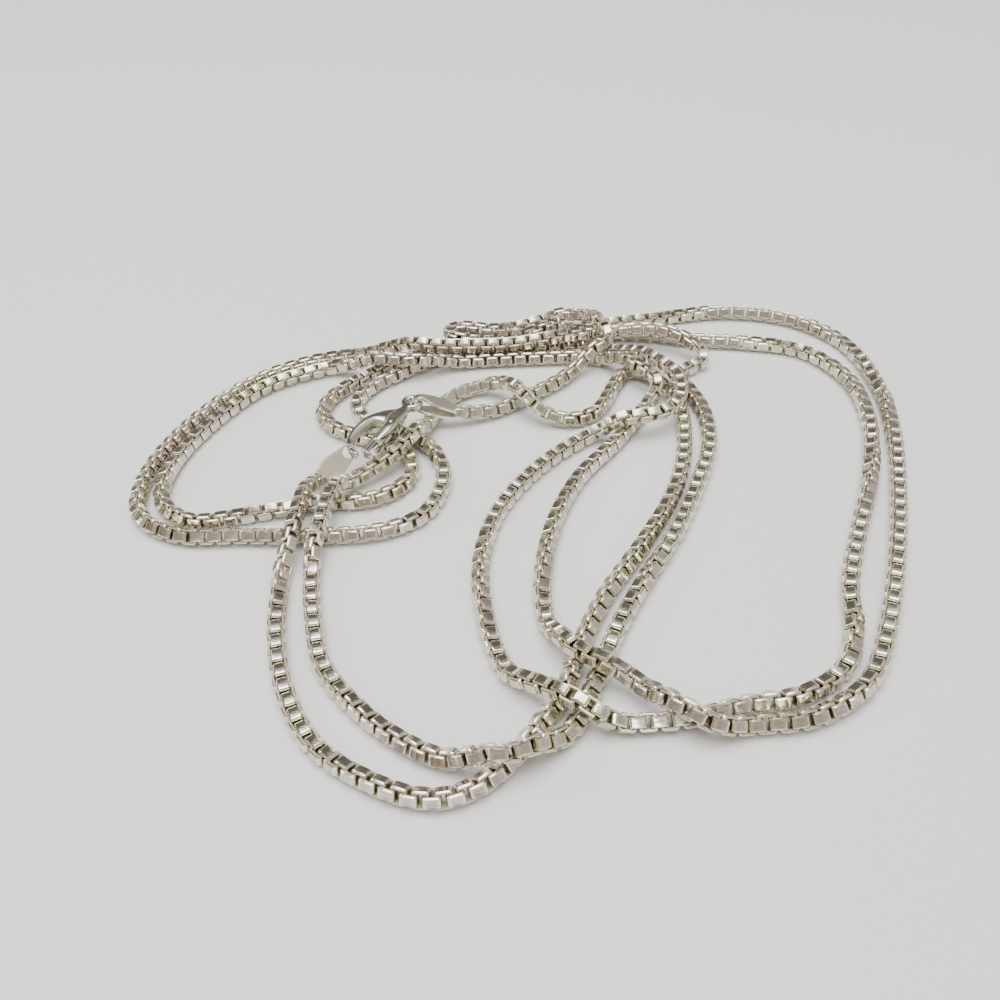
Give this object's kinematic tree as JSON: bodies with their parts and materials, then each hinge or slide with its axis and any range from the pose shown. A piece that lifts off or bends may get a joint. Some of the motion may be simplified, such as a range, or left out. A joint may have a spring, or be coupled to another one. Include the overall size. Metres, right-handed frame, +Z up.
{
  "type": "box chain necklace",
  "caption": "Fine silver box chain necklace, fastened with a spring-lever lobster clasp and lying loose in looping strands.",
  "frame": {"origin": "middle of the footprint, on the surface that the necklace lies on", "axes": "+Z up from the surface; +X along the longest extent, to the right in the picture; +Y away from the viewer"},
  "size_m": [0.0736, 0.0622, 0.0046],
  "materials": {
    "chain_silver": "polished, with dark tarnish inside the links",
    "clasp_silver": "polished",
    "tag_silver": "polished sheet with a slight tarnish"
  },
  "bodies": {
    "necklace": {"chain_hook_side": "chain_silver", "chain_eye_side": "chain_silver", "clasp_body": "clasp_silver", "hinge_pin": "clasp_silver", "hook_tag": "tag_silver", "eye_tag": "tag_silver"},
    "lever": {"lever": "clasp_silver"}
  },
  "joints": [
    {"name": "lever_hinge", "type": "hinge", "parent": "necklace", "child": "lever", "pos_m": [-0.01272, 0.00856, 0.003], "axis": [0, 0, -1], "range_deg": [0, 10], "stiffness_Nm_per_rad": 0.002, "springref_deg": -20.05}
  ]
}
